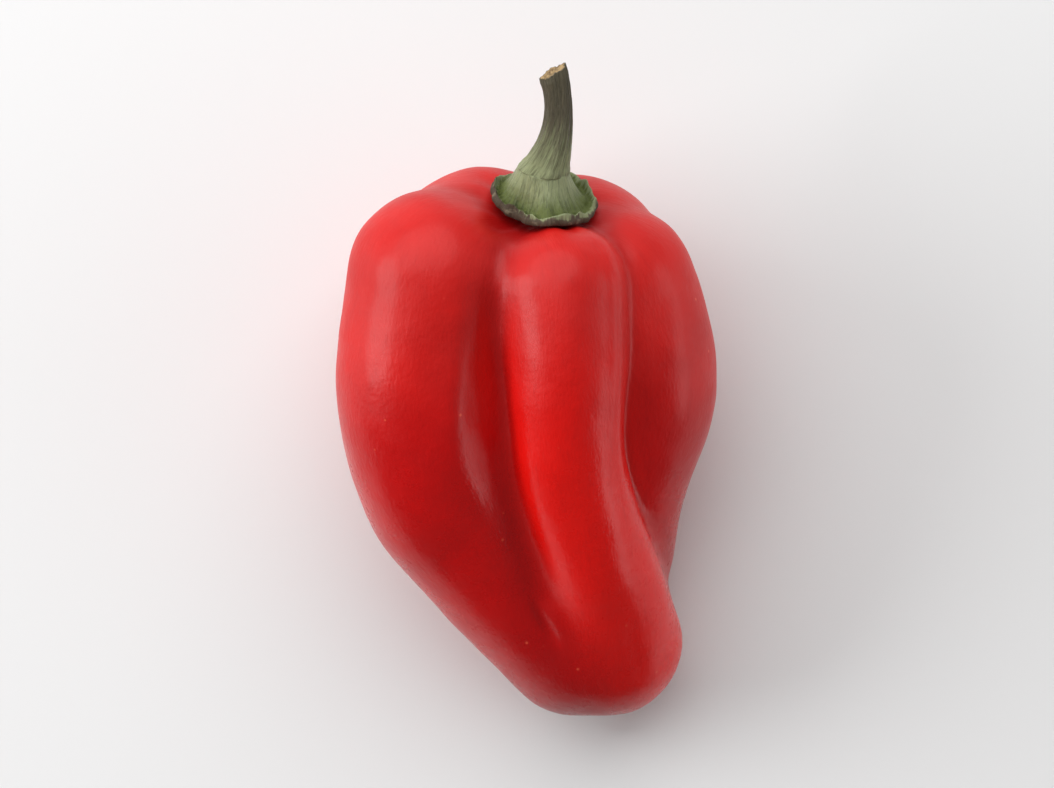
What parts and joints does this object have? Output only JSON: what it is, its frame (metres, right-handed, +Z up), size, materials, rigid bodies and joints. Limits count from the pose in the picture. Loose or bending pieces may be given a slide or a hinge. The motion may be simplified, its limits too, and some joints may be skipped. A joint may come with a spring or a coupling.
{
  "type": "chilli pepper",
  "caption": "Ripe red chilli pepper of the squat, lobed habanero form with its green calyx and cut stem, lying on its side.",
  "frame": {"origin": "under the middle of the pepper's bounding box, on the surface that it lies on", "axes": "+Y along the pepper towards the stem, +Z up from the surface, +X to the right when looked down on with the stem up"},
  "size_m": [0.0328, 0.0564, 0.0262],
  "materials": {
    "skin": "waxy",
    "calyx": "matte",
    "stem": "matte"
  },
  "bodies": {
    "root": {"pod": "skin", "calyx": "calyx", "stem": "stem"}
  },
  "joints": []
}
